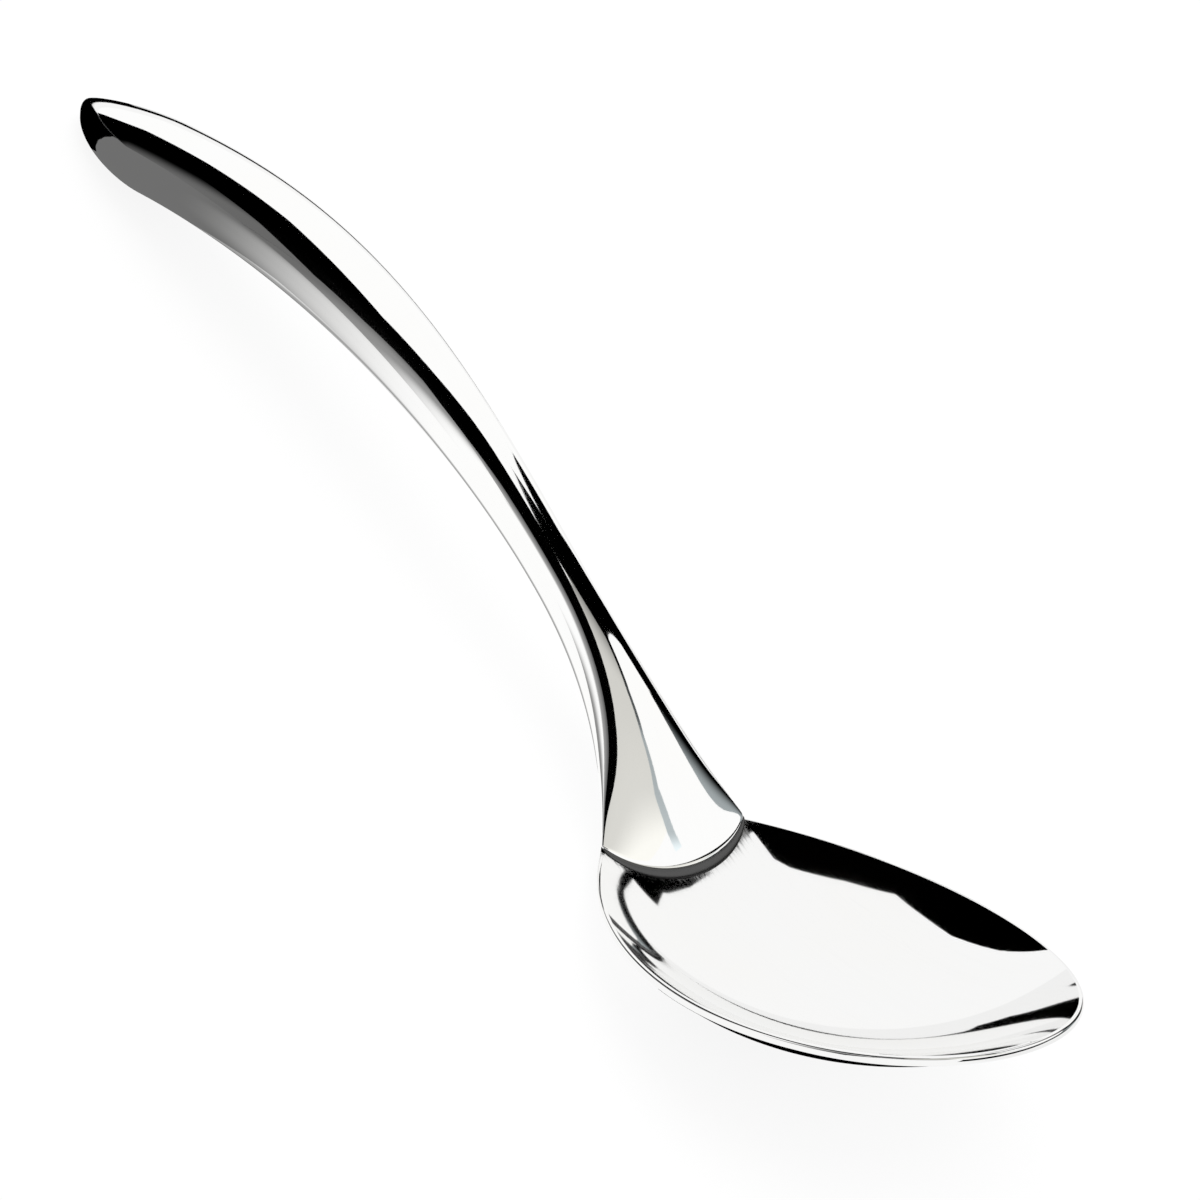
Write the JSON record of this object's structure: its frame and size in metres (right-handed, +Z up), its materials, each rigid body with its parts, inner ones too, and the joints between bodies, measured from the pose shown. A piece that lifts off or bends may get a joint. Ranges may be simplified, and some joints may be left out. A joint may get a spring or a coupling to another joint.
{
  "type": "serving spoon",
  "caption": "Polished stainless steel serving spoon: a shallow egg-shaped bowl welded into the flared mouth of an arched, rounded hollow handle.",
  "frame": {"origin": "bottom centre of the bounding box, with the spoon lying hollow side up on a table as it rests by itself: on the heel of the bowl and the end of the handle", "axes": "+X from the handle's end to the bowl's front tip, +Y across the spoon, +Z up from the table"},
  "size_m": [0.2608, 0.06, 0.032],
  "materials": {
    "bowl_steel": "polished 18/8 stainless steel sheet, mirror finish with fine polishing lines",
    "handle_steel": "polished 18/8 stainless steel, mirror finish with fine lengthwise polishing lines",
    "weld_steel": "stainless weld metal, ground and polished flush"
  },
  "bodies": {
    "root": {"bowl": "bowl_steel", "handle_upper_shell": "handle_steel", "handle_lower_shell": "handle_steel", "seam_weld": "weld_steel", "upper_mouth_weld": "weld_steel", "lower_mouth_weld": "weld_steel"}
  },
  "joints": []
}
